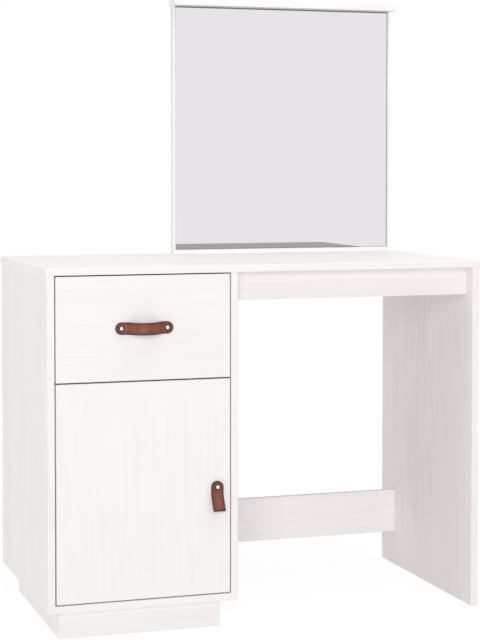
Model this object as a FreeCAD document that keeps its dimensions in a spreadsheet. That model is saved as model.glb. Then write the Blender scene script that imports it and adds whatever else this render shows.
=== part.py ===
import FreeCAD, Part
import math
import os
import re

# A dressing table of painted pine: a cabinet with a drawer over a door on the left, a leg panel
# on the right, and a mirror that stands on the back of the tabletop.
# Frame: +X to the right, +Y to the back, +Z up; origin on the floor under the middle of the box
# round the whole table, pulls included.

doc = FreeCAD.newDocument("dressing_table")

# Driving dimensions in millimetres, one cell each; angles are in degrees.
SIZES = (
    ("table_width", 950, "tabletop, end to end"),
    ("table_depth", 500, "tabletop, front to back"),
    ("table_height", 750, "floor to the top of the tabletop"),
    ("overall_height", 1340, "floor to the top of the mirror's cap"),
    ("board", 15, "thickness of the pine boards"),
    ("edge_ease", 1.5, "rounding of the boards' edges"),
    ("end_overhang", 2, "tabletop past the outer faces at each end"),
    ("cabinet_width", 400, "cabinet over both sides"),
    ("front_gap", 2.5, "gap round the drawer front and the door"),
    ("drawer_door_gap", 3, "gap between the drawer front and the door"),
    ("plinth_height", 55, "floor to the cabinet's bottom board"),
    ("plinth_left_inset", 25, "plinth behind the cabinet's left face"),
    ("plinth_right_inset", 36, "plinth behind the cabinet's right face"),
    ("plinth_front_inset", 14, "plinth behind the cabinet's front"),
    ("plinth_back_inset", 61, "plinth in front of the cabinet's back"),
    ("apron_height", 60, "apron under the tabletop"),
    ("apron_inset", 34, "apron behind the tabletop's front"),
    ("rail_height", 100, "lower rail"),
    ("rail_lift", 9, "lower rail over the cabinet's bottom board"),
    ("rail_back_inset", 62, "lower rail in front of the tabletop's back"),
    ("back_panel", 4, "thickness of the cabinet's back panel"),
    ("back_panel_inset", 10, "back panel in front of the cabinet's back"),
    ("back_groove_depth", 5, "groove for the back panel"),
    ("seat_play", 0.3, "play of a loose board in its groove or place"),
    ("divider_setback", 22, "divider behind the cabinet's front"),
    ("divider_drop", 7, "divider under the drawer front's lower edge"),
    ("drawer_front_height", 213, "drawer front"),
    ("drawer_side", 12, "thickness of the drawer's sides and back"),
    ("drawer_side_gap", 2, "drawer side to cabinet side"),
    ("drawer_box_lift", 10, "drawer box over the drawer front's lower edge"),
    ("drawer_box_drop", 43, "drawer box under the drawer front's upper edge"),
    ("drawer_back_gap", 83, "drawer box in front of the cabinet's back panel"),
    ("drawer_bottom", 5, "thickness of the drawer's bottom"),
    ("drawer_bottom_lift", 10, "drawer bottom over the sides' lower edge"),
    ("drawer_groove_depth", 6, "groove for the drawer's bottom"),
    ("runner_width", 8, "runner, out from the cabinet side"),
    ("runner_height", 15, "runner"),
    ("runner_lift", 60, "runner over the drawer sides' lower edge"),
    ("runner_back_gap", 30, "runner in front of the cabinet's back panel"),
    ("runner_screw_inset", 44, "runner's screws from its ends"),
    ("runner_fit", 0.3, "running gap between runner and groove"),
    ("runner_stop_gap", 0.4, "runner's end to the closed drawer front"),
    ("mirror_from_left", 400, "mirror frame from the tabletop's left end"),
    ("mirror_from_right", 10, "mirror frame from the tabletop's right end"),
    ("mirror_strip", 5, "side strips round the glass, as seen from the front"),
    ("mirror_sill", 9, "bottom strip under the glass, as seen from the front"),
    ("glass", 4, "thickness of the mirror glass"),
    ("glass_lip", 2.5, "strips in front of the glass"),
    ("cap_thickness", 18, "cap board"),
    ("cap_depth", 54, "cap board, front to back"),
    ("cap_overhang", 4, "cap board past the mirror frame at each side"),
    ("strap_holes", 96, "drawer strap, screw to screw"),
    ("strap_width", 25, "drawer strap"),
    ("strap_thickness", 3, "leather of the drawer strap"),
    ("strap_projection", 30, "drawer strap in front of the drawer"),
    ("strap_flat", 6, "strap lies flat this far inside each screw"),
    ("strap_bend", 12, "bend radius of the strap beside its flat ends"),
    ("strap_straight", 15, "straight slope of the strap between bend and crest"),
    ("tab_width", 25, "door tab"),
    ("tab_thickness", 2.8, "leather of the door tab"),
    ("tab_slit", 0.6, "between the two layers of the door tab"),
    ("tab_from_edge", 28.5, "middle of the tab from the door's right edge"),
    ("tab_level", 221, "tab's screw over the door's lower edge"),
    ("tab_drop", 49, "tab's screw to its fold"),
    ("tab_flat", 12, "tab lies flat this far under its screw"),
    ("tab_bend", 25, "bend radius of the tab"),
    ("tab_lean", 30, "degrees that the tab leans out from the door"),
    ("pull_screw_radius", 2, "shank of the pulls' screws"),
    ("pull_head_radius", 3.8, "round head of the pulls' screws"),
    ("pull_head_height", 2.2, "round head of the pulls' screws"),
    ("pull_head_rounding", 1.7, "rim of the round heads"),
    ("pull_nut_radius", 4, "nut of the pulls' screws"),
    ("pull_nut_height", 3.2, "nut of the pulls' screws"),
    ("hinge_inset", 80, "hinge from the door's top or lower edge"),
    ("pin_from_edge", 10, "hinge pin from the door's left edge"),
    ("pin_from_front", 6.5, "hinge pin behind the door's front"),
    ("pin_radius", 1.25, "hinge pin"),
    ("pin_fit", 0.05, "running clearance round the hinge pin"),
    ("pin_length", 22, "hinge pin"),
    ("knuckle_wall", 1, "metal round the hinge pin"),
    ("cup_radius", 17.5, "hinge cup"),
    ("cup_from_edge", 3.5, "hinge cup from the door's left edge"),
    ("cup_floor", 0.8, "metal in front of the cup's pocket"),
    ("cup_play", 0.4, "play between arm and cup"),
    ("flange_thickness", 1.2, "cup's flange on the door's back"),
    ("flange_height", 60, "cup's flange, up and down"),
    ("flange_screw_spacing", 48, "screws of a cup's flange"),
    ("flange_screw_offset", 6, "flange screws past the cup's middle"),
    ("arm_width", 12, "hinge arm, up and down"),
    ("arm_thickness", 2, "metal of the hinge arm"),
    ("arm_reach", 12.5, "arm along the door, from the pin"),
    ("arm_rise", 17, "arm out of the cup, from the pin"),
    ("arm_base", 50, "arm along the cabinet side"),
    ("arm_bend", 2, "bend radius of the hinge arm"),
    ("arm_screw_spacing", 24, "screws of a hinge arm"),
    ("catch_length", 40, "door catch, side to side"),
    ("catch_depth", 22, "door catch, front to back"),
    ("catch_height", 14, "door catch"),
    ("catch_from_right", 30, "door catch from the cabinet's right side"),
    ("catch_screw_spacing", 28, "screws of the door catch"),
    ("catch_screw_setback", 15, "catch's screws behind its front"),
    ("catch_plate", 1.5, "thickness of the catch's steel plate"),
    ("catch_plate_width", 30, "catch's steel plate"),
    ("catch_gap", 0.3, "catch to its plate when the door is shut"),
    ("screw_radius", 1.75, "shank of the wood screws"),
    ("screw_head_radius", 3.5, "head of the wood screws"),
    ("screw_head_height", 1.8, "flat-seated head of the wood screws"),
    ("screw_fit", 0.1, "play round a screw or a nut"),
    ("screw_bite", 10, "screw into the board behind"),
    ("mirror_screw_bite", 35, "mirror's screws into its backboard"),
    ("mirror_fixing_spacing", 180, "mirror's screws from its middle"),
    ("mirror_dowel_spacing", 90, "mirror's dowels from its middle"),
    ("dowel_radius", 4, "dowels of the table"),
    ("dowel_in_face", 10, "dowel into a board's face"),
    ("dowel_in_edge", 20, "dowel into a board's edge"),
    ("drawer_dowel_radius", 3, "dowels of the drawer"),
    ("dowel_fit", 0.1, "play round a dowel"),
    ("fixing_inset", 100, "cams from a panel's front or back edge"),
    ("fixing_step", 32, "dowel beside a cam"),
    ("cam_radius", 7.5, "cam discs"),
    ("cam_depth", 12, "cam discs"),
    ("cam_from_edge", 34, "middle of a cam disc from the panel's end"),
    ("cam_bolt_radius", 3, "cam bolts"),
    ("rail_dowel_inset", 25, "dowels from the lower rail's edges"),
    ("apron_dowel_inset", 15, "dowels from the apron's edges"),
    ("plinth_dowel_inset", 60, "plinth dowels from the plinth's corners"),
)

# Places and sizes that follow from the driving dimensions.
PLACES = (
    ("front", "(strap_projection - table_depth) / 2"),
    ("back", "front + table_depth"),
    ("left_end", "-table_width / 2"),
    ("right_end", "table_width / 2"),
    ("slab_under", "table_height - board"),
    ("cabinet_left", "left_end + end_overhang"),
    ("cabinet_right", "cabinet_left + cabinet_width"),
    ("inner_left", "cabinet_left + board"),
    ("inner_right", "cabinet_right - board"),
    ("panel_right", "right_end - end_overhang"),
    ("panel_left", "panel_right - board"),
    ("floor_top", "plinth_height + board"),
    ("fronts_back", "front + board"),
    ("fronts_left", "inner_left + front_gap"),
    ("fronts_right", "inner_right - front_gap"),
    ("drawer_front_top", "slab_under - front_gap"),
    ("drawer_front_low", "drawer_front_top - drawer_front_height"),
    ("door_top", "drawer_front_low - drawer_door_gap"),
    ("door_low", "floor_top + front_gap"),
    ("divider_top", "drawer_front_low - divider_drop"),
    ("divider_low", "divider_top - board"),
    ("back_panel_back", "back - back_panel_inset"),
    ("back_panel_front", "back_panel_back - back_panel"),
    ("apron_front", "front + apron_inset"),
    ("apron_low", "slab_under - apron_height"),
    ("rail_front", "back - rail_back_inset - board"),
    ("rail_low", "floor_top + rail_lift"),
    ("rail_top", "rail_low + rail_height"),
    ("plinth_left", "cabinet_left + plinth_left_inset"),
    ("plinth_right", "cabinet_right - plinth_right_inset"),
    ("plinth_front", "front + plinth_front_inset"),
    ("plinth_back", "back - plinth_back_inset"),
    ("drawer_left", "inner_left + drawer_side_gap"),
    ("drawer_right", "inner_right - drawer_side_gap"),
    ("drawer_low", "drawer_front_low + drawer_box_lift"),
    ("drawer_top", "drawer_front_top - drawer_box_drop"),
    ("drawer_back", "back_panel_front - drawer_back_gap"),
    ("drawer_floor_low", "drawer_low + drawer_bottom_lift"),
    ("drawer_floor_top", "drawer_floor_low + drawer_bottom"),
    ("runner_low", "drawer_low + runner_lift"),
    ("runner_top", "runner_low + runner_height"),
    ("runner_front", "fronts_back + runner_stop_gap"),
    ("runner_back", "back_panel_front - runner_back_gap"),
    ("mirror_left", "left_end + mirror_from_left"),
    ("mirror_right", "right_end - mirror_from_right"),
    ("mirror_middle", "(mirror_left + mirror_right) / 2"),
    ("mirror_board_front", "back - board"),
    ("glass_front", "mirror_board_front - glass"),
    ("mirror_front", "glass_front - glass_lip"),
    ("cap_low", "overall_height - cap_thickness"),
    ("strap_middle", "(fronts_left + fronts_right) / 2"),
    ("strap_level", "(drawer_front_low + drawer_front_top) / 2"),
    ("tab_middle", "fronts_right - tab_from_edge"),
    ("tab_screw_level", "door_low + tab_level"),
    ("pin_x", "fronts_left + pin_from_edge"),
    ("pin_y", "front + pin_from_front"),
    ("knuckle_radius", "pin_radius + pin_fit + knuckle_wall"),
    ("pocket_front", "pin_y - knuckle_radius - cup_play"),
    ("cup_x", "fronts_left + cup_from_edge + cup_radius"),
    ("cup_front", "pocket_front - cup_floor"),
    ("catch_right", "inner_right - catch_from_right"),
    ("catch_left", "catch_right - catch_length"),
    ("catch_front", "fronts_back + catch_plate + catch_gap"),
    ("catch_low", "divider_low - catch_height"),
)


def fill_sheet(name, rows):
    """Writes rows of (alias, content) into a sheet of the document."""
    sheet = doc.addObject("Spreadsheet::Sheet", name)
    for number, (alias, content) in enumerate(rows, start=1):
        sheet.set(f"A{number}", alias)
        sheet.set(f"B{number}", content)
        sheet.setAlias(f"B{number}", alias)
    return sheet


size_names = {alias for alias, value, note in SIZES}


def formula(text):
    """Writes a length given in words as an expression on the two sheets' cells."""

    def cell(match):
        word = match.group(0)
        return ("sizes." if word in size_names else "places.") + word

    return re.sub(r"[a-z][a-z_]+", cell, text)


sizes = fill_sheet("sizes", [(alias, str(value)) for alias, value, note in SIZES])
places = fill_sheet("places", [(alias, "=" + formula(text)) for alias, text in PLACES])
doc.recompute()

TURNS = {
    "+x": FreeCAD.Rotation(FreeCAD.Vector(0, 1, 0), 90),
    "-x": FreeCAD.Rotation(FreeCAD.Vector(0, 1, 0), -90),
    "+y": FreeCAD.Rotation(FreeCAD.Vector(1, 0, 0), -90),
    "-y": FreeCAD.Rotation(FreeCAD.Vector(1, 0, 0), 90),
    "+z": FreeCAD.Rotation(),
    "-z": FreeCAD.Rotation(FreeCAD.Vector(1, 0, 0), 180),
}
SAME_PLACE = 1e-6
pieces = []
holes = {}


def block(name, x, y, z):
    """A box between two places along each axis."""
    box = doc.addObject("Part::Box", name)
    for side, axis, (low, high) in zip(("Length", "Width", "Height"), "xyz", (x, y, z)):
        box.setExpression(side, formula(f"({high}) - ({low})"))
        box.setExpression("Placement.Base." + axis, formula(low))
    return box


def aim(solid, direction, place):
    """Points a round solid along an axis and sets its start."""
    solid.Placement = FreeCAD.Placement(FreeCAD.Vector(), TURNS[direction])
    for axis, where in zip("xyz", place):
        solid.setExpression("Placement.Base." + axis, formula(where))


def rod(name, radius, length, direction, place):
    """A cylinder that starts at a place and runs along an axis."""
    cylinder = doc.addObject("Part::Cylinder", name)
    cylinder.setExpression("Radius", formula(radius))
    cylinder.setExpression("Height", formula(length))
    aim(cylinder, direction, place)
    return cylinder


def taper(name, start_radius, end_radius, length, direction, place):
    """A cone that starts at a place and runs along an axis."""
    cone = doc.addObject("Part::Cone", name)
    cone.setExpression("Radius1", formula(start_radius))
    cone.setExpression("Radius2", formula(end_radius))
    cone.setExpression("Height", formula(length))
    aim(cone, direction, place)
    return cone


def shifted(place, direction, amount):
    """The place moved along an axis."""
    moved = list(place)
    index = "xyz".index(direction[1])
    moved[index] = f"({place[index]}) {direction[0]} ({amount})"
    return moved


def opposite(direction):
    """The same axis the other way."""
    return ("-" if direction[0] == "+" else "+") + direction[1]


def joined(name, solids):
    """One solid out of several that touch, or the tool for several holes."""
    if len(solids) == 1:
        return solids[0]
    fuse = doc.addObject("Part::MultiFuse", name)
    fuse.Shapes = solids
    return fuse


def eased(name, base, chosen):
    """Rounds the chosen edges of a board."""
    doc.recompute()
    radius = sizes.edge_ease
    fillet = doc.addObject("Part::Fillet", name)
    fillet.Base = base
    numbered = enumerate(base.Shape.Edges, start=1)
    fillet.Edges = [(number, radius, radius) for number, edge in numbered if chosen(edge)]
    return fillet


def every_edge(edge):
    return True


def runs_along(axis):
    """Chooses the edges that are parallel to an axis."""
    extent = axis.upper() + "Length"
    return lambda edge: getattr(edge.BoundBox, extent) > edge.Length / 2


def bore(names, tool):
    """Notes a hole for each board that it goes into."""
    for name in names:
        holes.setdefault(name, []).append(tool)


def finished(name, base):
    """Cuts the holes noted for a piece and lists the piece under its own name."""
    piece = base
    if name in holes:
        piece = doc.addObject("Part::Cut", name)
        piece.Base = base
        piece.Tool = joined(name + "_holes", holes[name])
    piece.Label = name
    pieces.append(piece)
    return piece


def grouped(name, solids):
    """Lists like fasteners as one piece of separate solids."""
    group = doc.addObject("Part::Compound", name)
    group.Links = solids
    group.Label = name
    pieces.append(group)


def dowel(kind, radius, place, direction, face_board, edge_board):
    """A dowel across a joint: a short end in one board's face, a long end in the other's edge."""
    start = shifted(place, opposite(direction), "dowel_in_face")
    length = "dowel_in_face + dowel_in_edge"
    hole_start = shifted(start, opposite(direction), "dowel_fit")
    hole = rod(kind + "_hole", f"{radius} + dowel_fit", f"{length} + 2 * dowel_fit", direction, hole_start)
    bore((face_board, edge_board), hole)
    return rod(kind, radius, length, direction, start)


def screw(kind, place, direction, length, boards, sunk):
    """A wood screw, its head sunk in the surface at the place or seated on it."""
    shank = rod(kind + "_shank", "screw_radius", length, direction, place)
    hole = rod(kind + "_hole", "screw_radius + screw_fit", f"{length} + screw_fit", direction, place)
    if sunk:
        slope = "screw_head_radius - screw_radius"
        head = taper(kind + "_head", "screw_head_radius", "screw_radius", slope, direction, place)
        seat_radii = ("screw_head_radius + screw_fit", "screw_radius + screw_fit")
        seat = taper(kind + "_seat", *seat_radii, slope, direction, place)
        bore(boards, seat)
    else:
        head = rod(kind + "_head", "screw_head_radius", "screw_head_height", opposite(direction), place)
    bore(boards, hole)
    return joined(kind, [head, shank])


def bent_strip(start, heading, steps, thickness):
    """The flat outline of a strip that follows straight runs (length) and bends (radius, degrees).

    Positive bends turn left. The start, the heading in degrees and the steps are those of the
    strip's middle line, in the XY plane.
    """
    half = thickness / 2
    point = FreeCAD.Vector(*start)
    angle = math.radians(heading)
    left_side = []
    right_side = []

    def across(at, offset, turned):
        return at + FreeCAD.Vector(-math.sin(turned), math.cos(turned)) * offset

    first = (across(point, half, angle), across(point, -half, angle))
    for step in steps:
        if len(step) == 1:
            end = point + FreeCAD.Vector(math.cos(angle), math.sin(angle)) * step[0]
            for side, offset in ((left_side, half), (right_side, -half)):
                edge = Part.LineSegment(across(point, offset, angle), across(end, offset, angle))
                side.append(edge.toShape())
            point = end
            continue
        radius, degrees = step
        turn = math.radians(degrees)
        way = math.copysign(1, turn)
        centre = across(point, way * radius, angle)
        for side, offset in ((left_side, half), (right_side, -half)):
            stations = []
            for share in (0, 0.5, 1):
                stations.append(across(centre, offset - way * radius, angle + share * turn))
            side.append(Part.Arc(*stations).toShape())
        angle = angle + turn
        point = across(centre, -way * radius, angle)
    last = (across(point, half, angle), across(point, -half, angle))
    ends = [Part.LineSegment(*last).toShape(), Part.LineSegment(*first).toShape()]
    outline = Part.Wire(Part.__sortEdges__(left_side + right_side + ends))
    return Part.Face(outline)


def shaped(name, shape):
    """A bent piece whose outline no primitive gives."""
    feature = doc.addObject("Part::Feature", name)
    feature.Shape = shape
    return feature


# Boards of the table.

full_depth = ("front", "back")
tabletop = eased(
    "tabletop_blank",
    block("tabletop_board", ("left_end", "right_end"), full_depth, ("slab_under", "table_height")),
    every_edge,
)
side_height = ("floor_top", "slab_under")
side_spans = {
    "cabinet_left_side": ("cabinet_left", "inner_left"),
    "cabinet_right_side": ("inner_right", "cabinet_right"),
    "right_panel": ("panel_left", "panel_right"),
}
panels = {}
for name, span in side_spans.items():
    low = "0" if name == "right_panel" else "floor_top"
    panel = block(name + "_board", span, full_depth, (low, "slab_under"))
    panels[name] = eased(name + "_blank", panel, runs_along("z"))
cabinet_bottom = block(
    "cabinet_bottom_board", ("cabinet_left", "cabinet_right"), full_depth, ("plinth_height", "floor_top")
)
divider = block(
    "divider_board",
    ("inner_left", "inner_right"),
    ("front + divider_setback", "back_panel_front - seat_play"),
    ("divider_low", "divider_top"),
)
back_panel = block(
    "cabinet_back_panel",
    ("inner_left - back_groove_depth + seat_play", "inner_right + back_groove_depth - seat_play"),
    ("back_panel_front", "back_panel_back"),
    ("floor_top", "slab_under - seat_play"),
)
back_groove = block(
    "back_groove",
    ("inner_left - back_groove_depth", "inner_right + back_groove_depth"),
    ("back_panel_front - seat_play", "back_panel_back + seat_play"),
    side_height,
)
bore(("cabinet_left_side", "cabinet_right_side"), back_groove)

plinth_heights = ("0", "plinth_height")
plinth_width = ("plinth_left", "plinth_right")
plinth_gap = ("plinth_front + board", "plinth_back - board")
plinth_spans = {
    "plinth_front": (plinth_width, ("plinth_front", "plinth_front + board")),
    "plinth_rear": (plinth_width, ("plinth_back - board", "plinth_back")),
    "plinth_left": (("plinth_left", "plinth_left + board"), plinth_gap),
    "plinth_right": (("plinth_right - board", "plinth_right"), plinth_gap),
}
plinth_boards = {}
for name, (x_span, y_span) in plinth_spans.items():
    plinth_boards[name] = block(name + "_board", x_span, y_span, plinth_heights)

knee_width = ("cabinet_right", "panel_left")
apron_board = block(
    "apron_board", knee_width, ("apron_front", "apron_front + board"), ("apron_low", "slab_under")
)
apron = eased("apron_blank", apron_board, runs_along("x"))
rail_board = block("rail_board", knee_width, ("rail_front", "rail_front + board"), ("rail_low", "rail_top"))
rail = eased("rail_blank", rail_board, runs_along("x"))

# Mirror: glass on a backboard, thin strips round them, a cap board on top.

mirror_heights = ("table_height", "cap_low")
mirror_inside = ("mirror_left + mirror_strip", "mirror_right - mirror_strip")
backboard = block("mirror_board", mirror_inside, ("mirror_board_front", "back"), mirror_heights)
mirror_glass = block(
    "mirror_glass",
    ("mirror_left + mirror_strip + seat_play", "mirror_right - mirror_strip - seat_play"),
    ("glass_front", "mirror_board_front"),
    ("table_height + mirror_sill", "cap_low - seat_play"),
)
strip_depth = ("mirror_front", "back")
left_strip = block("left_strip", ("mirror_left", "mirror_left + mirror_strip"), strip_depth, mirror_heights)
right_strip = block(
    "right_strip", ("mirror_right - mirror_strip", "mirror_right"), strip_depth, mirror_heights
)
sill = block(
    "mirror_sill_strip",
    mirror_inside,
    ("mirror_front", "mirror_board_front"),
    ("table_height", "table_height + mirror_sill"),
)
cap_board = block(
    "cap_board",
    ("mirror_left - cap_overhang", "mirror_right + cap_overhang"),
    ("back - cap_depth", "back"),
    ("cap_low", "overall_height"),
)
cap = eased("cap_blank", cap_board, every_edge)

# Drawer: a grooved box behind an inset front, hung on two wooden runners.

fronts_width = ("fronts_left", "fronts_right")
fronts_depth = ("front", "fronts_back")
drawer_front_board = block(
    "drawer_front_board", fronts_width, fronts_depth, ("drawer_front_low", "drawer_front_top")
)
drawer_front = eased("drawer_front_blank", drawer_front_board, every_edge)
drawer_depth = ("fronts_back", "drawer_back")
drawer_heights = ("drawer_low", "drawer_top")
drawer_inside = ("drawer_left + drawer_side", "drawer_right - drawer_side")
drawer_sides = {
    "left": block(
        "drawer_left_board", ("drawer_left", "drawer_left + drawer_side"), drawer_depth, drawer_heights
    ),
    "right": block(
        "drawer_right_board", ("drawer_right - drawer_side", "drawer_right"), drawer_depth, drawer_heights
    ),
}
drawer_back = block(
    "drawer_back_board",
    drawer_inside,
    ("drawer_back - drawer_side", "drawer_back"),
    ("drawer_floor_top", "drawer_top"),
)
drawer_floor = block(
    "drawer_bottom_panel",
    (
        "drawer_left + drawer_side - drawer_groove_depth + seat_play",
        "drawer_right - drawer_side + drawer_groove_depth - seat_play",
    ),
    ("fronts_back - drawer_groove_depth + seat_play", "drawer_back"),
    ("drawer_floor_low", "drawer_floor_top"),
)
floor_groove = block(
    "drawer_floor_groove",
    (
        "drawer_left + drawer_side - drawer_groove_depth",
        "drawer_right - drawer_side + drawer_groove_depth",
    ),
    ("fronts_back - drawer_groove_depth", "drawer_back"),
    ("drawer_floor_low", "drawer_floor_top + seat_play"),
)
bore(("drawer_front", "drawer_left_side", "drawer_right_side"), floor_groove)
runner_depth = ("runner_front", "runner_back")
runner_heights = ("runner_low", "runner_top")
runners = {
    "left": block("left_runner", ("inner_left", "inner_left + runner_width"), runner_depth, runner_heights),
    "right": block(
        "right_runner", ("inner_right - runner_width", "inner_right"), runner_depth, runner_heights
    ),
}
runner_groove = {
    "left": ("drawer_left", "inner_left + runner_width + runner_fit"),
    "right": ("inner_right - runner_width - runner_fit", "drawer_right"),
}
for side, span in runner_groove.items():
    groove_heights = ("runner_low - 2 * runner_fit", "runner_top + runner_fit")
    groove = block(side + "_runner_groove", span, drawer_depth, groove_heights)
    bore((f"drawer_{side}_side",), groove)

# Door with its bores for the hinge cups.

door_board = block("door_board", fronts_width, fronts_depth, ("door_low", "door_top"))
door = eased("door_blank", door_board, every_edge)
hinge_levels = {"upper": "door_top - hinge_inset", "lower": "door_low + hinge_inset"}

# Dowels, cam discs and cam bolts between the boards.

table_dowels = []
cam_discs = []
cam_bolts = []


def table_dowel(place, direction, face_board, edge_board):
    table_dowels.append(dowel("dowel", "dowel_radius", place, direction, face_board, edge_board))


def cam_joint(panel, panel_span, end_level, direction, face_board, row):
    """A bolt in a board's face and the disc that pulls it, let into the inside of a panel."""
    middle = f"({panel_span[0]} + {panel_span[1]}) / 2"
    start = shifted((middle, row, end_level), opposite(direction), "dowel_in_face")
    length = "dowel_in_face + cam_from_edge"
    bolt_hole = rod("cam_bolt_hole", "cam_bolt_radius + screw_fit", length, direction, start)
    bore((panel, face_board), bolt_hole)
    cam_bolts.append(rod("cam_bolt", "cam_bolt_radius", length, direction, start))
    level = shifted((middle, row, end_level), direction, "cam_from_edge")[2]
    inside, into = (panel_span[1], "-x") if panel == "cabinet_left_side" else (panel_span[0], "+x")
    place = (inside, row, level)
    disc_hole = rod("cam_hole", "cam_radius + dowel_fit", "cam_depth + dowel_fit", into, place)
    bore((panel,), disc_hole)
    disc = doc.addObject("Part::Cut", "cam_disc")
    disc.Base = rod("cam_blank", "cam_radius", "cam_depth", into, place)
    disc.Tool = bolt_hole
    cam_discs.append(disc)


cam_rows = {"front + fixing_inset": "-", "back - fixing_inset": "+"}
for panel, span in side_spans.items():
    middle = f"({span[0]} + {span[1]}) / 2"
    for row, outward in cam_rows.items():
        dowel_row = f"{row} {outward} fixing_step"
        cam_joint(panel, span, "slab_under", "-z", "tabletop", row)
        table_dowel((middle, dowel_row, "slab_under"), "-z", "tabletop", panel)
        if panel != "right_panel":
            cam_joint(panel, span, "floor_top", "+z", "cabinet_bottom", row)
            table_dowel((middle, dowel_row, "floor_top"), "+z", "cabinet_bottom", panel)
            inner_face, into = ("inner_left", "+x") if "left" in panel else ("inner_right", "-x")
            divider_place = (inner_face, row, "divider_low + board / 2")
            table_dowel(divider_place, into, panel, "drawer_divider")

apron_levels = ("apron_low + apron_dowel_inset", "slab_under - apron_dowel_inset")
rail_levels = ("rail_low + rail_dowel_inset", "rail_top - rail_dowel_inset")
for board_name, row, levels in (
    ("front_apron", "apron_front + board / 2", apron_levels),
    ("lower_rail", "rail_front + board / 2", rail_levels),
):
    for level in levels:
        table_dowel(("cabinet_right", row, level), "+x", "cabinet_right_side", board_name)
        table_dowel(("panel_left", row, level), "-x", "right_panel", board_name)

for column in ("plinth_left + plinth_dowel_inset", "plinth_right - plinth_dowel_inset"):
    for name, row in (
        ("plinth_front", "plinth_front + board / 2"),
        ("plinth_rear", "plinth_back - board / 2"),
    ):
        table_dowel((column, row, "plinth_height"), "-z", "cabinet_bottom", name)
for name, column in (
    ("plinth_left", "plinth_left + board / 2"),
    ("plinth_right", "plinth_right - board / 2"),
):
    middle_level = "plinth_height / 2"
    table_dowel((column, plinth_gap[0], middle_level), "+y", "plinth_front", name)
    table_dowel((column, plinth_gap[1], middle_level), "-y", "plinth_rear", name)

mirror_row = "back - board / 2"
for way in ("-", "+"):
    column = f"mirror_middle {way} mirror_dowel_spacing"
    table_dowel((column, mirror_row, "table_height"), "+z", "tabletop", "mirror_backboard")
    table_dowel((column, mirror_row, "cap_low"), "-z", "mirror_cap", "mirror_backboard")

drawer_dowels = []
side_middles = {"left": "drawer_left + drawer_side / 2", "right": "drawer_right - drawer_side / 2"}
for side, column in side_middles.items():
    for level in ("drawer_low + runner_lift / 2", "drawer_top - runner_lift / 2"):
        place = (column, "fronts_back", level)
        wood = ("drawer_front", f"drawer_{side}_side")
        drawer_dowels.append(dowel("drawer_dowel", "drawer_dowel_radius", place, "+y", *wood))

# Wood screws: mirror to tabletop, runners to cabinet, drawer back to drawer sides.

mirror_screws = []
for way in ("- mirror_fixing_spacing", "", "+ mirror_fixing_spacing"):
    place = (f"mirror_middle {way}", mirror_row, "slab_under")
    length = "board + mirror_screw_bite"
    mirror_screws.append(screw("mirror_screw", place, "+z", length, ("tabletop", "mirror_backboard"), True))

runner_screws = []
drawer_screws = []
runner_faces = {
    "left": ("inner_left + runner_width", "-x"),
    "right": ("inner_right - runner_width", "+x"),
}
runner_rows = (
    "runner_front + runner_screw_inset",
    "(runner_front + runner_back) / 2",
    "runner_back - runner_screw_inset",
)
drawer_faces = {"left": ("drawer_left", "+x"), "right": ("drawer_right", "-x")}
for side, (face, into) in runner_faces.items():
    boards = (f"{side}_drawer_runner", f"cabinet_{side}_side")
    for row in runner_rows:
        place = (face, row, "runner_low + runner_height / 2")
        runner_screws.append(screw("runner_screw", place, into, "runner_width + screw_bite", boards, True))
for side, (face, into) in drawer_faces.items():
    boards = (f"drawer_{side}_side", "drawer_back")
    for level in ("runner_low - runner_height", "drawer_top - runner_lift / 2"):
        place = (face, "drawer_back - drawer_side / 2", level)
        length = "drawer_side + 2 * screw_bite"
        drawer_screws.append(screw("drawer_screw", place, into, length, boards, True))

# Hinges: a cup in the door, a pin through the cup, a goose-neck arm on the cabinet side.


def hinge_arm(name, level):
    """The arm runs from its knuckle along the door, out of the cup and back to the side."""
    bend = sizes.arm_bend
    thickness = sizes.arm_thickness
    back_run = places.pin_x + sizes.arm_reach - places.inner_left - thickness / 2
    steps = (
        (sizes.arm_reach - bend,),
        (bend, 90),
        (sizes.arm_rise - 2 * bend,),
        (bend, 90),
        (back_run - 2 * bend,),
        (bend, -90),
        (sizes.arm_base,),
    )
    outline = bent_strip((places.pin_x, places.pin_y), 0, steps, thickness)
    strip = shaped(name + "_strip", outline.extrude(FreeCAD.Vector(0, 0, sizes.arm_width)))
    strip.setExpression("Placement.Base.z", formula(f"{level} - arm_width / 2"))
    foot = ("pin_x", "pin_y", f"{level} - arm_width / 2")
    knuckle = rod(name + "_knuckle", "knuckle_radius", "arm_width", "+z", foot)
    bore((name,), rod(name + "_bore", "pin_radius + pin_fit", "arm_width", "+z", foot))
    return joined(name + "_blank", [strip, knuckle])


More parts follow.
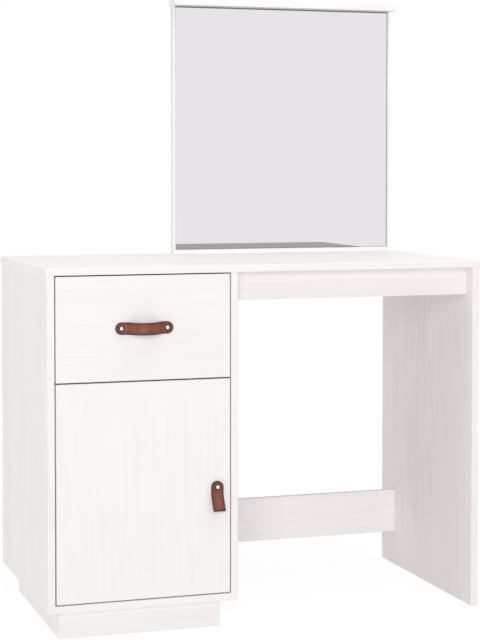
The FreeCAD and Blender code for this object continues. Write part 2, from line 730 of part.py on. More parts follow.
arm_base_front = "pin_y + arm_rise + arm_bend"
arm_screws = []
cup_screws = []
hinge_bases = {}
for end, level in hinge_levels.items():
    arm = f"{end}_hinge_arm"
    cup = f"{end}_hinge_cup"
    hinge_bases[arm] = hinge_arm(arm, level)
    for way in ("-", "+"):
        row = f"{arm_base_front} + (arm_base {way} arm_screw_spacing) / 2"
        place = ("inner_left + arm_thickness", row, level)
        length = "arm_thickness + screw_bite"
        boards = (arm, "cabinet_left_side")
        arm_screws.append(screw("arm_screw", place, "-x", length, boards, False))
    flange_back = "fronts_back + flange_thickness"
    plug = rod(cup + "_plug", "cup_radius", "fronts_back - cup_front", "+y", ("cup_x", "cup_front", level))
    flange = block(
        cup + "_flange",
        ("cup_x - cup_radius", "cup_x + cup_radius"),
        ("fronts_back", flange_back),
        (f"{level} - flange_height / 2", f"{level} + flange_height / 2"),
    )
    hinge_bases[cup] = joined(cup + "_blank", [plug, flange])
    pocket = block(
        cup + "_pocket",
        ("pin_x - knuckle_radius - cup_play", "pin_x + arm_reach + arm_thickness / 2 + 2 * cup_play"),
        ("pocket_front", flange_back),
        (f"{level} - arm_width / 2 - cup_play", f"{level} + arm_width / 2 + cup_play"),
    )
    bore((cup,), pocket)
    pin_place = ("pin_x", "pin_y", f"{level} - pin_length / 2")
    bore((cup,), rod(cup + "_pin_hole", "pin_radius + pin_fit", "pin_length", "+z", pin_place))
    hinge_bases[f"{end}_hinge_pin"] = rod(f"{end}_pin", "pin_radius", "pin_length", "+z", pin_place)
    plug_bore_place = ("cup_x", "cup_front - screw_fit", level)
    plug_depth = "fronts_back - cup_front + screw_fit"
    bore(("door_panel",), rod(cup + "_bore", "cup_radius + screw_fit", plug_depth, "+y", plug_bore_place))
    for way in ("-", "+"):
        place = ("cup_x + flange_screw_offset", flange_back, f"{level} {way} flange_screw_spacing / 2")
        length = "flange_thickness + screw_bite"
        cup_screws.append(screw("cup_screw", place, "-y", length, (cup, "door_panel"), False))

# Magnetic catch under the divider and its plate on the door.

catch_middle = "(catch_left + catch_right) / 2"
catch_body = block(
    "catch_block",
    ("catch_left", "catch_right"),
    ("catch_front", "catch_front + catch_depth"),
    ("catch_low", "divider_low"),
)
catch_screws = []
for way in ("-", "+"):
    place = (
        f"{catch_middle} {way} catch_screw_spacing / 2",
        "catch_front + catch_screw_setback",
        "catch_low",
    )
    length = "catch_height + screw_bite"
    catch_screws.append(screw("catch_screw", place, "+z", length, ("catch_body", "drawer_divider"), True))
plate_edge = "catch_plate_width / 2"
catch_plate = block(
    "catch_plate_blank",
    (f"{catch_middle} - {plate_edge}", f"{catch_middle} + {plate_edge}"),
    ("fronts_back", "fronts_back + catch_plate"),
    ("catch_low", "divider_low"),
)
plate_place = (catch_middle, "fronts_back + catch_plate", "(catch_low + divider_low) / 2")
plate_length = "catch_plate + screw_bite"
plate_screw = screw("plate_screw", plate_place, "-y", plate_length, ("catch_plate", "door_panel"), True)

# Leather pulls and their screws and nuts.


def pull_screw(kind, column, level, leather, board_name, leather_name):
    """A round-headed screw through leather and board, with its nut inside."""
    outside = (column, f"front - {leather}", level)
    length = f"{leather} + board + pull_nut_height"
    shank = rod(kind + "_shank", "pull_screw_radius", length, "+y", outside)
    button = rod(kind + "_button", "pull_head_radius", "pull_head_height", "-y", outside)
    doc.recompute()
    rim = doc.addObject("Part::Fillet", kind + "_rim")
    rim.Base = button
    top = button.Shape.BoundBox.YMin
    radius = sizes.pull_head_rounding
    numbered = enumerate(button.Shape.Edges, start=1)
    rim.Edges = [(n, radius, radius) for n, edge in numbered if edge.BoundBox.YMax - top < SAME_PLACE]
    hole = rod(kind + "_hole", "pull_screw_radius + screw_fit", length, "+y", outside)
    bore((leather_name, board_name), hole)
    nut = doc.addObject("Part::Prism", kind + "_nut_blank")
    nut.Polygon = 6
    nut.setExpression("Circumradius", formula("pull_nut_radius"))
    nut.setExpression("Height", formula("pull_nut_height"))
    aim(nut, "+y", (column, "fronts_back", level))
    nut_cut = doc.addObject("Part::Cut", kind + "_nut")
    nut_cut.Base = nut
    nut_cut.Tool = hole
    return joined(kind, [rim, shank]), nut_cut


def strap_blank():
    """The strap lies flat at both screws and arches forward between them."""
    thickness = sizes.strap_thickness
    bend = sizes.strap_bend
    straight = sizes.strap_straight
    end_radius = sizes.strap_width / 2
    run = sizes.strap_holes / 2 - sizes.strap_flat
    rise = sizes.strap_projection - thickness
    slope = 2 * math.atan2(rise, run + straight)
    degrees = math.degrees(slope)
    crest = (run - straight * math.cos(slope)) / math.sin(slope) - bend
    flat = end_radius + sizes.strap_flat
    steps = (
        (flat,),
        (bend, -degrees),
        (straight,),
        (crest, 2 * degrees),
        (straight,),
        (bend, -degrees),
        (flat,),
    )
    left = places.strap_middle - sizes.strap_holes / 2 - end_radius
    low = places.strap_level - end_radius
    outline = bent_strip((left, places.front - thickness / 2), 0, steps, thickness)
    outline.translate(FreeCAD.Vector(0, 0, low))
    arch = shaped("strap_arch", outline.extrude(FreeCAD.Vector(0, 0, sizes.strap_width)))
    middle_line = ("front - strap_projection", "front")
    straight_part = block(
        "strap_middle_part",
        ("strap_middle - strap_holes / 2", "strap_middle + strap_holes / 2"),
        middle_line,
        ("strap_level - strap_width / 2", "strap_level + strap_width / 2"),
    )
    round_ends = []
    for way in ("-", "+"):
        place = (f"strap_middle {way} strap_holes / 2", middle_line[0], "strap_level")
        round_ends.append(rod("strap_end", "strap_width / 2", "strap_projection", "+y", place))
    strap = doc.addObject("Part::Common", "strap_blank")
    strap.Base = arch
    strap.Tool = joined("strap_shape", [straight_part] + round_ends)
    return strap


def tab_blank():
    """The tab is one strip folded at its lower end, leaning out from the door."""
    thickness = sizes.tab_thickness
    pitch = thickness + sizes.tab_slit
    lean = sizes.tab_lean
    radians = math.radians(lean)
    end_radius = sizes.tab_width / 2
    inner_bend = sizes.tab_bend
    outer_bend = inner_bend - pitch
    fold_reach = (pitch + thickness) / 2
    slope = (sizes.tab_drop - sizes.tab_flat - inner_bend * math.sin(radians) - fold_reach) / math.cos(radians)
    flat = end_radius + sizes.tab_flat
    steps = (
        (flat,),
        (inner_bend, lean),
        (slope,),
        (pitch / 2, 180),
        (slope,),
        (outer_bend, -lean),
        (flat,),
    )
    outline = bent_strip((-end_radius, thickness / 2), 0, steps, thickness)
    folded = outline.extrude(FreeCAD.Vector(0, 0, sizes.tab_width))
    strip = shaped("tab_strip", folded)
    # Half a turn that makes the outline's x run down the door and its y out of the door.
    down_door = FreeCAD.Rotation(FreeCAD.Vector(1, 0, -1), 180)
    strip.Placement = FreeCAD.Placement(FreeCAD.Vector(), down_door)
    strip.setExpression("Placement.Base.x", formula("tab_middle + tab_width / 2"))
    strip.setExpression("Placement.Base.y", formula("front"))
    strip.setExpression("Placement.Base.z", formula("tab_screw_level"))
    reach = "(tab_drop + tab_width)"
    hanging = block(
        "tab_hanging_part",
        ("tab_middle - tab_width / 2", "tab_middle + tab_width / 2"),
        (f"front - {reach}", "front"),
        (f"tab_screw_level - {reach}", "tab_screw_level"),
    )
    round_end = rod("tab_end", "tab_width / 2", reach, "-y", ("tab_middle", "front", "tab_screw_level"))
    tab = doc.addObject("Part::Common", "tab_blank")
    tab.Base = strip
    tab.Tool = joined("tab_shape", [hanging, round_end])
    return tab


strap_screws = []
strap_nuts = []
for way in ("-", "+"):
    column = f"strap_middle {way} strap_holes / 2"
    pull = ("strap_thickness", "drawer_front", "drawer_pull_strap")
    fixing, nut = pull_screw("strap_screw", column, "strap_level", *pull)
    strap_screws.append(fixing)
    strap_nuts.append(nut)
tab_pull = ("(2 * tab_thickness + tab_slit)", "door_panel", "door_pull_tab")
tab_screw, tab_nut = pull_screw("tab_screw", "tab_middle", "tab_screw_level", *tab_pull)

# Every piece under its own name, with its holes cut.

finished("tabletop", tabletop)
for name, panel in panels.items():
    finished(name, panel)
finished("cabinet_bottom", cabinet_bottom)
finished("cabinet_back_panel", back_panel)
finished("drawer_divider", divider)
for name, plinth_board in plinth_boards.items():
    finished(name, plinth_board)
finished("front_apron", apron)
finished("lower_rail", rail)
finished("mirror_backboard", backboard)
finished("mirror_glass", mirror_glass)
finished("mirror_left_strip", left_strip)
finished("mirror_right_strip", right_strip)
finished("mirror_bottom_strip", sill)
finished("mirror_cap", cap)
finished("drawer_front", drawer_front)
finished("drawer_back", drawer_back)
finished("drawer_bottom", drawer_floor)
for side in ("left", "right"):
    finished(f"drawer_{side}_side", drawer_sides[side])
    finished(f"{side}_drawer_runner", runners[side])
finished("door_panel", door)
for name, base in hinge_bases.items():
    finished(name, base)
finished("catch_body", catch_body)
finished("catch_plate", catch_plate)
finished("drawer_pull_strap", strap_blank())
finished("door_pull_tab", tab_blank())
finished("door_pull_screw", tab_screw)
finished("door_pull_nut", tab_nut)
finished("catch_plate_screw", plate_screw)
grouped("drawer_pull_screws", strap_screws)
grouped("drawer_pull_nuts", strap_nuts)
grouped("dowels", table_dowels)
grouped("drawer_dowels", drawer_dowels)
grouped("cam_discs", cam_discs)
grouped("cam_bolts", cam_bolts)
grouped("mirror_screws", mirror_screws)
grouped("runner_screws", runner_screws)
grouped("drawer_screws", drawer_screws)
grouped("hinge_arm_screws", arm_screws)
grouped("hinge_cup_screws", cup_screws)
grouped("catch_screws", catch_screws)
doc.recompute()

for item in doc.Objects:
    if "Invalid" in item.State or "Error" in item.State:
        raise RuntimeError(f"{item.Label} failed: {item.State}")
for piece in pieces:
    if piece.Shape.isNull() or not piece.Shape.isValid() or not piece.Shape.Solids:
        raise RuntimeError(f"{piece.Label} has no valid solid")

os.makedirs("parts", exist_ok=True)
for piece in pieces:
    piece.Shape.exportStep(os.path.join("parts", piece.Label + ".step"))
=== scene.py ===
import bpy
import math
from mathutils import Matrix, Vector


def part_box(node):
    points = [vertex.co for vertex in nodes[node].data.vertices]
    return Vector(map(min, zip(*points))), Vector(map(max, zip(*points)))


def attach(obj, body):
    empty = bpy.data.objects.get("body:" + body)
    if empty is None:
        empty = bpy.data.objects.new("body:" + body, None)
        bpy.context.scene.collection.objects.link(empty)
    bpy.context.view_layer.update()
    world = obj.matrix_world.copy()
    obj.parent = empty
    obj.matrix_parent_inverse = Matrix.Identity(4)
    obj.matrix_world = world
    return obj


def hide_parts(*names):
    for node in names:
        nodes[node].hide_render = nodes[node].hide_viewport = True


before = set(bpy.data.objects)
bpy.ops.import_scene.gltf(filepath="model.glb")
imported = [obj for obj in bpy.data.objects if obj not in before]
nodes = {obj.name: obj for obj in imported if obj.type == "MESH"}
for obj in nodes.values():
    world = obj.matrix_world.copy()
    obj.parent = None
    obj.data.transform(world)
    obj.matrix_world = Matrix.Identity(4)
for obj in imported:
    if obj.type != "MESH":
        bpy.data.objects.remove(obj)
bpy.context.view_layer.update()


# Boards of the table: glued pine, planed, sprayed with a thin white eggshell paint. The paint sinks
# into the wood, so growth rings, glued staves and a few knots still show through it faintly.


def from_hex(text):
    """A colour written as sRGB hex, in linear values."""
    shares = [int(text[place:place + 2], 16) / 255 for place in (0, 2, 4)]
    return [c / 12.92 if c <= 0.04045 else ((c + 0.055) / 1.055) ** 2.4 for c in shares] + [1]


def add_node(owner, kind, inputs=None, **settings):
    """Adds one node to a material or world: settings are its properties, inputs values or links."""
    node = owner.node_tree.nodes.new("ShaderNode" + kind)
    for name, value in settings.items():
        setattr(node, name, value)
    for socket, value in (inputs or {}).items():
        if isinstance(value, bpy.types.NodeSocket):
            owner.node_tree.links.new(value, node.inputs[socket])
        else:
            node.inputs[socket].default_value = value
    return node


def new_finish(name):
    """An empty material and its surface shader."""
    finish = bpy.data.materials.new(name)
    finish.use_nodes = True
    return finish, finish.node_tree.nodes["Principled BSDF"]


def pine_figure(finish, grain, across, ring, knot_share):
    """The figure of a glued pine board: late wood, fibres, stave tone and knots, each from 0 to 1.

    The staves are cut from different places in a trunk, so the rings in each are circles about a
    pith that wanders behind the board's face, one ring to each ring metres. Knots sit in a share of
    the cells on that face, and the rings swerve round them.
    """
    # Sizes in metres; those of three axes are along the grain, across it and through the board.
    stave_width = 0.083
    fibre_size = (0.22, 0.006, 0.02)
    fibre_roughens_ring = 0.004
    knot_cell = (0.34, 0.19, 0.9)
    knot_cell_start = (0.31, 0.27, 0.5)
    ring_swerve = 0.03
    bow_length = 0.6
    bow_depth = 0.04
    # The pith's places spread this far across and behind the staves, and wander this far in one.
    pith_spread = (0.1, 0.05, 0)
    pith_wander = (0.05, 0.08, 0)
    pith_start = (-(stave_width + pith_spread[0] + pith_wander[0]) / 2, -0.02, 0)
    # Shares of a knot's cell, and the step that gives each stave its own stretch of the noise.
    knot_core = 0.07
    knot_halo = 0.3
    stave_step = 7.3

    through = ({"X", "Y", "Z"} - {grain, across}).pop()
    place = add_node(finish, "TexCoord").outputs["Object"]
    axes = add_node(finish, "SeparateXYZ", {"Vector": place}).outputs
    board = add_node(
        finish, "CombineXYZ", {"X": axes[grain], "Y": axes[across], "Z": axes[through]}
    ).outputs[0]
    staves = add_node(finish, "Math", {0: axes[across], 1: stave_width}, operation="DIVIDE").outputs[0]
    number = add_node(finish, "Math", {0: staves}, operation="FLOOR").outputs[0]
    in_stave = add_node(finish, "Math", {0: staves}, operation="FRACT").outputs[0]
    cut = add_node(finish, "TexWhiteNoise", {"W": number}, noise_dimensions="1D").outputs

    fibre_place = add_node(
        finish, "Mapping", {"Vector": board, "Scale": [1 / size for size in fibre_size]}
    ).outputs[0]
    fibre = add_node(finish, "TexNoise", {"Vector": fibre_place, "Scale": 1, "Detail": 3}).outputs[0]

    knot_place = add_node(
        finish, "Mapping",
        {"Vector": board, "Location": knot_cell_start, "Scale": [1 / size for size in knot_cell]},
    ).outputs[0]
    knot = add_node(finish, "TexVoronoi", {"Vector": knot_place, "Scale": 1}).outputs
    present = add_node(
        finish, "Math", {0: knot["Color"], 1: 1 - knot_share}, operation="GREATER_THAN"
    ).outputs[0]
    core = add_node(
        finish, "MapRange", {"Value": knot["Distance"], "From Min": knot_core, "From Max": 0.0},
        interpolation_type="SMOOTHSTEP",
    ).outputs[0]
    halo = add_node(
        finish, "MapRange",
        {"Value": knot["Distance"], "From Min": knot_halo, "From Max": 0.0, "To Max": ring_swerve},
        interpolation_type="SMOOTHSTEP",
    ).outputs[0]
    knots = add_node(finish, "Math", {0: core, 1: present}, operation="MULTIPLY").outputs[0]
    swerve = add_node(finish, "Math", {0: halo, 1: present}, operation="MULTIPLY").outputs[0]

    trunk = add_node(
        finish, "CombineXYZ", {"X": axes[grain], "Y": number, "Z": axes[through]}
    ).outputs[0]
    trunk_place = add_node(
        finish, "Mapping", {"Vector": trunk, "Scale": (1 / bow_length, stave_step, 1 / bow_depth)}
    ).outputs[0]
    bow = add_node(finish, "TexNoise", {"Vector": trunk_place, "Scale": 1, "Detail": 2}).outputs["Color"]
    pith = add_node(
        finish, "VectorMath", {0: cut["Color"], 1: pith_spread, 2: pith_start}, operation="MULTIPLY_ADD"
    ).outputs[0]
    bowed_pith = add_node(
        finish, "VectorMath", {0: bow, 1: pith_wander, 2: pith}, operation="MULTIPLY_ADD"
    ).outputs[0]
    face = add_node(finish, "CombineXYZ", {"X": in_stave}).outputs[0]
    from_pith = add_node(
        finish, "VectorMath", {0: face, 1: (stave_width, 0, 0), 2: bowed_pith}, operation="MULTIPLY_ADD"
    ).outputs[0]
    radius = add_node(finish, "VectorMath", {0: from_pith}, operation="LENGTH").outputs["Value"]
    swerved = add_node(finish, "Math", {0: radius, 1: swerve}, operation="ADD").outputs[0]
    ragged = add_node(
        finish, "Math", {0: fibre, 1: fibre_roughens_ring, 2: swerved}, operation="MULTIPLY_ADD"
    ).outputs[0]
    years = add_node(finish, "Math", {0: ragged, 1: ring}, operation="DIVIDE").outputs[0]
    season = add_node(finish, "Math", {0: years}, operation="FRACT").outputs[0]
    late = add_node(
        finish, "MapRange", {"Value": season, "From Min": 0.3, "From Max": 0.95},
        interpolation_type="SMOOTHSTEP",
    ).outputs[0]
    return late, fibre, cut["Value"], knots


def painted_pine(name, grain, across, figure):
    """Thin eggshell paint over pine: near-white, low sheen, with a warm grey figure that stays faint.

    A figure of 1 is the usual coat: more shows more of the wood, less shows less.
    """
    ring = 0.014
    knot_share = 0.5
    ring_shows = 0.3 * figure
    fibre_shows = 0.28 * figure
    stave_shows = 0.16 * figure
    knot_shows = 0.35 + 0.2 * figure
    thick_paint = from_hex("F8F4F4")
    thin_paint = from_hex("EAE3E0")
    paint_on_knot = from_hex("DFD4CD")

    finish, shader = new_finish(name)
    late, fibre, stave, knots = pine_figure(finish, grain, across, ring, knot_share)
    place = add_node(finish, "TexCoord").outputs["Object"]
    # The paint lies thicker and thinner over some 110 mm, and the figure fades in and out with it.
    cover = add_node(finish, "TexNoise", {"Vector": place, "Scale": 1 / 0.11, "Detail": 1}).outputs[0]
    thin = add_node(finish, "MapRange", {"Value": cover, "From Min": 0.35, "From Max": 0.7}).outputs[0]
    shown = add_node(finish, "Math", {0: late, 1: thin}, operation="MULTIPLY").outputs[0]
    ringed = add_node(finish, "Math", {0: shown, 1: ring_shows}, operation="MULTIPLY").outputs[0]
    streak = add_node(
        finish, "MapRange", {"Value": fibre, "From Min": 0.4, "From Max": 0.75, "To Max": fibre_shows}
    ).outputs[0]
    tone = add_node(finish, "MapRange", {"Value": stave, "To Max": stave_shows}).outputs[0]
    figured = add_node(finish, "Math", {0: ringed, 1: streak}, operation="ADD").outputs[0]
    toned = add_node(finish, "Math", {0: figured, 1: tone}, operation="ADD", use_clamp=True).outputs[0]
    paint = add_node(finish, "Mix", {0: toned, 6: thick_paint, 7: thin_paint}, data_type="RGBA").outputs[2]
    knotted = add_node(finish, "Math", {0: knots, 1: knot_shows}, operation="MULTIPLY").outputs[0]
    colour = add_node(finish, "Mix", {0: knotted, 6: paint, 7: paint_on_knot}, data_type="RGBA").outputs[2]
    gloss = add_node(finish, "MapRange", {"Value": fibre, "To Min": 0.54, "To Max": 0.68}).outputs[0]
    bump = add_node(finish, "Bump", {"Height": fibre, "Strength": 0.08, "Distance": 0.0004}).outputs[0]
    links = finish.node_tree.links
    links.new(colour, shader.inputs["Base Color"])
    links.new(gloss, shader.inputs["Roughness"])
    links.new(bump, shader.inputs["Normal"])
    return finish


def dress(finish, names):
    """Gives a finish to CAD pieces."""
    for name in names:
        for slot in nodes[name].material_slots:
            slot.material = finish


upright_side = painted_pine("painted_pine_upright_side", "Z", "Y", 1.0)
dress(upright_side, ("cabinet_left_side", "cabinet_right_side"))
# The leg panel got a thinner coat: its figure shows the most.
dress(painted_pine("thinly_painted_pine_upright_side", "Z", "Y", 1.6), ("right_panel",))
flat_board = painted_pine("painted_pine_flat_board", "X", "Y", 0.7)
dress(flat_board, ("tabletop", "cabinet_bottom", "drawer_divider", "mirror_cap"))
cross_board = painted_pine("painted_pine_cross_board", "X", "Z", 0.8)
dress(cross_board, ("front_apron", "lower_rail", "plinth_front", "plinth_rear"))
dress(painted_pine("painted_pine_deep_board", "Y", "Z", 1.0), ("plinth_left", "plinth_right"))
# The fronts were sanded and painted once more: their figure is the faintest.
dress(painted_pine("painted_pine_cross_front", "X", "Z", 0.5), ("drawer_front",))
upright_front = painted_pine("painted_pine_upright_front", "Z", "X", 0.5)
dress(upright_front, ("door_panel",))


# Cabinet back and drawer bottom: thin fibreboard with a smooth white face. Pressed fibres leave a
# fine, even mottle under the paint. Both panels slide into grooves.
fibreboard, fibreboard_shader = new_finish("white_faced_fibreboard")
fibreboard_place = add_node(fibreboard, "TexCoord").outputs["Object"]
# Real fibres are 1 to 2 mm long; the mottle is drawn at 5 mm so that it shows.
mottle = add_node(
    fibreboard, "TexNoise", {"Vector": fibreboard_place, "Scale": 1 / 0.005, "Detail": 4}
).outputs["Fac"]
fibreboard_tone = add_node(
    fibreboard, "Mix", {0: mottle, 6: from_hex("EFEDE9"), 7: from_hex("E6E3DE")}, data_type="RGBA"
).outputs[2]
fibreboard_bump = add_node(
    fibreboard, "Bump", {"Height": mottle, "Strength": 0.15, "Distance": 0.0002}
).outputs[0]
fibreboard.node_tree.links.new(fibreboard_tone, fibreboard_shader.inputs["Base Color"])
fibreboard.node_tree.links.new(fibreboard_bump, fibreboard_shader.inputs["Normal"])
fibreboard_shader.inputs["Roughness"].default_value = 0.55
dress(fibreboard, ("cabinet_back_panel", "drawer_bottom"))


# Mirror: 4 mm float glass, silvered behind, held on a painted backboard by thin painted strips.
# The silver stops 2 mm short of the glass's edge, and the rim there is drawn dark: partly the bare
# edge, partly painted shade of the gap and the strips' shaded sides. It is a grey mirror, which
# reflects about two fifths of the light, very slightly violet.
rim_width = 0.002
rim_blur = 0.0008
# The silver is drawn half a millimetre to the left on the glass, so the dark rim and its painted
# shade are wider on the right.
rim_shade_shift = Vector((-0.0005, 0, 0))
silvered, silvered_shader = new_finish("silvered_float_glass")
silvered_place = add_node(silvered, "TexCoord").outputs["Object"]
# Float glass waves over some 150 mm, far too little to see as more than a soft shift.
wave = add_node(
    silvered, "TexNoise", {"Vector": silvered_place, "Scale": 1 / 0.15, "Detail": 1}
).outputs["Fac"]
silver = add_node(
    silvered, "Mix", {0: wave, 6: from_hex("A7A5A7"), 7: from_hex("A5A3A5")}, data_type="RGBA"
).outputs[2]
glass_low, glass_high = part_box("mirror_glass")
silver_centre = (glass_low + glass_high) / 2 + rim_shade_shift
half_glass = (glass_high - glass_low) / 2
off_centre = add_node(
    silvered, "VectorMath", {0: silvered_place, 1: silver_centre}, operation="SUBTRACT"
).outputs[0]
off_either_way = add_node(silvered, "VectorMath", {0: off_centre}, operation="ABSOLUTE").outputs[0]
from_edges = add_node(
    silvered, "VectorMath", {0: half_glass, 1: off_either_way}, operation="SUBTRACT"
).outputs[0]
edges = add_node(silvered, "SeparateXYZ", {"Vector": from_edges}).outputs
from_edge = add_node(silvered, "Math", {0: edges["X"], 1: edges["Z"]}, operation="MINIMUM").outputs[0]
# Painted shade: a dark rim along the glass's edges, standing in for the shaded gap by the strips.
bare_and_shaded_rim = add_node(
    silvered, "MapRange",
    {"Value": from_edge, "From Min": rim_width + rim_blur / 2, "From Max": rim_width - rim_blur / 2},
).outputs[0]
rim_shaded_silver = add_node(
    silvered, "Mix", {0: bare_and_shaded_rim, 6: silver, 7: from_hex("8C908F")}, data_type="RGBA"
).outputs[2]
silvered.node_tree.links.new(rim_shaded_silver, silvered_shader.inputs["Base Color"])
silvered_shader.inputs["Metallic"].default_value = 1
silvered_shader.inputs["Roughness"].default_value = 0.01
dress(silvered, ("mirror_glass",))
dress(upright_side, ("mirror_left_strip", "mirror_right_strip"))
dress(cross_board, ("mirror_bottom_strip",))
dress(upright_front, ("mirror_backboard",))


# Drawer box and runners: planed pine left bare, so the rings and knots show in full colour.
# The sides are grooved for the runners, which are screwed to the cabinet.
def bare_pine(name, grain, across):
    """Planed pine without paint: honey-coloured rings on pale wood, brown knots."""
    ring = 0.008
    knot_share = 0.3
    finish, shader = new_finish(name)
    late, fibre, stave, knots = pine_figure(finish, grain, across, ring, knot_share)
    tone = add_node(finish, "MapRange", {"Value": stave, "To Max": 0.3}).outputs[0]
    aged = add_node(
        finish, "Mix", {0: tone, 6: from_hex("EDD6AB"), 7: from_hex("DDBE8B")}, data_type="RGBA"
    ).outputs[2]
    ringed = add_node(finish, "Math", {0: late, 1: 0.75}, operation="MULTIPLY").outputs[0]
    wood = add_node(finish, "Mix", {0: ringed, 6: aged, 7: from_hex("CFA066")}, data_type="RGBA").outputs[2]
    streak = add_node(
        finish, "MapRange", {"Value": fibre, "From Min": 0.4, "From Max": 0.8, "To Max": 0.45}
    ).outputs[0]
    grained = add_node(
        finish, "Mix", {0: streak, 6: wood, 7: from_hex("C9A06A")}, data_type="RGBA"
    ).outputs[2]
    colour = add_node(
        finish, "Mix", {0: knots, 6: grained, 7: from_hex("8A5A33")}, data_type="RGBA"
    ).outputs[2]
    bump = add_node(finish, "Bump", {"Height": late, "Strength": 0.12, "Distance": 0.0003}).outputs[0]
    links = finish.node_tree.links
    links.new(colour, shader.inputs["Base Color"])
    links.new(bump, shader.inputs["Normal"])
    shader.inputs["Roughness"].default_value = 0.6
    return finish


bare_deep = bare_pine("bare_pine_deep_board", "Y", "Z")
dress(bare_deep, ("drawer_left_side", "drawer_right_side", "left_drawer_runner", "right_drawer_runner"))
dress(bare_pine("bare_pine_cross_board", "X", "Z"), ("drawer_back",))


# Drawer pull: a strap of brown saddle leather, cut with round ends, its edges burnished dark and a
# line pressed along them, screwed flat at both ends so that it arches out between the screws.
def cut_leather(name, length, width, thickness):
    """Cuts a flat strip with round ends and rounded edges: length along X, width along Z."""
    face_length = 0.0011
    faces_across = 24
    bpy.ops.object.select_all(action="DESELECT")
    bpy.ops.mesh.primitive_grid_add(
        x_subdivisions=round(length / face_length), y_subdivisions=faces_across,
        size=1, rotation=(math.pi / 2, 0, 0),
    )
    strip = bpy.context.object
    strip.name = name
    strip.scale = (length, width, 1)
    bpy.ops.object.transform_apply(location=True, rotation=True, scale=True)
    # The square ends are pressed into half circles.
    half_width = width / 2
    straight = length / 2 - half_width
    for vertex in strip.data.vertices:
        out = (abs(vertex.co.x) - straight) / half_width
        if out > 0:
            up = vertex.co.z / half_width
            reach = straight + half_width * out * math.sqrt(1 - up * up / 2)
            vertex.co.x = math.copysign(reach, vertex.co.x)
            vertex.co.z = half_width * up * math.sqrt(1 - out * out / 2)
    cut = strip.data.uv_layers.new(name="cut")
    for corner in strip.data.loops:
        flat = strip.data.vertices[corner.vertex_index].co
        cut.data[corner.index].uv = (flat.x, flat.z)
    thicken = strip.modifiers.new("thicken", "SOLIDIFY")
    thicken.thickness = thickness
    thicken.offset = 0
    bpy.ops.object.modifier_apply(modifier=thicken.name)
    skive = strip.modifiers.new("skive", "BEVEL")
    skive.width = thickness * 0.3
    skive.segments = 3
    skive.limit_method = "ANGLE"
    skive.angle_limit = math.radians(60)
    bpy.ops.object.modifier_apply(modifier=skive.name)
    return strip


def bend_leather(strip, length, steps):
    """Bends a flat strip over a former: straight runs (length) and bends (radius, degrees)."""
    place = Vector((0, 0, 0))
    heading = 0.0
    stations = [(place, heading, 0.0, 0.0)]
    for step in steps:
        if len(step) == 1:
            place = place + Vector((math.cos(heading), math.sin(heading), 0)) * step[0]
            reach = step[0] / 3
        else:
            radius, turn = step[0], math.radians(step[1])
            side = Vector((-math.sin(heading), math.cos(heading), 0)) * math.copysign(radius, turn)
            place = place + side - Matrix.Rotation(turn, 3, "Z") @ side
            heading += turn
            reach = 4 / 3 * math.tan(abs(turn) / 4) * radius
        before = stations[-1]
        stations[-1] = (before[0], before[1], before[2], reach)
        stations.append((place, heading, reach, 0.0))
    former_line = bpy.data.curves.new("former_line", "CURVE")
    former_line.dimensions = "3D"
    former_line.twist_mode = "Z_UP"
    former_line.resolution_u = 40
    line = former_line.splines.new("BEZIER")
    line.bezier_points.add(len(stations) - 1)
    for point, (place, heading, arriving, leaving) in zip(line.bezier_points, stations):
        along = Vector((math.cos(heading), math.sin(heading), 0))
        point.handle_left_type = point.handle_right_type = "FREE"
        point.co = place
        point.handle_left = place - along * arriving
        point.handle_right = place + along * leaving
    former = bpy.data.objects.new("former", former_line)
    bpy.context.scene.collection.objects.link(former)
    strip.data.transform(Matrix.Translation((length / 2, 0, 0)))
    bend = strip.modifiers.new("bend", "CURVE")
    bend.object = former
    bend.deform_axis = "POS_X"
    bpy.ops.object.select_all(action="DESELECT")
    strip.select_set(True)
    bpy.context.view_layer.objects.active = strip
    bpy.ops.object.modifier_apply(modifier=bend.name)
    bpy.data.objects.remove(former)
    bpy.ops.object.shade_smooth_by_angle(angle=math.radians(50))


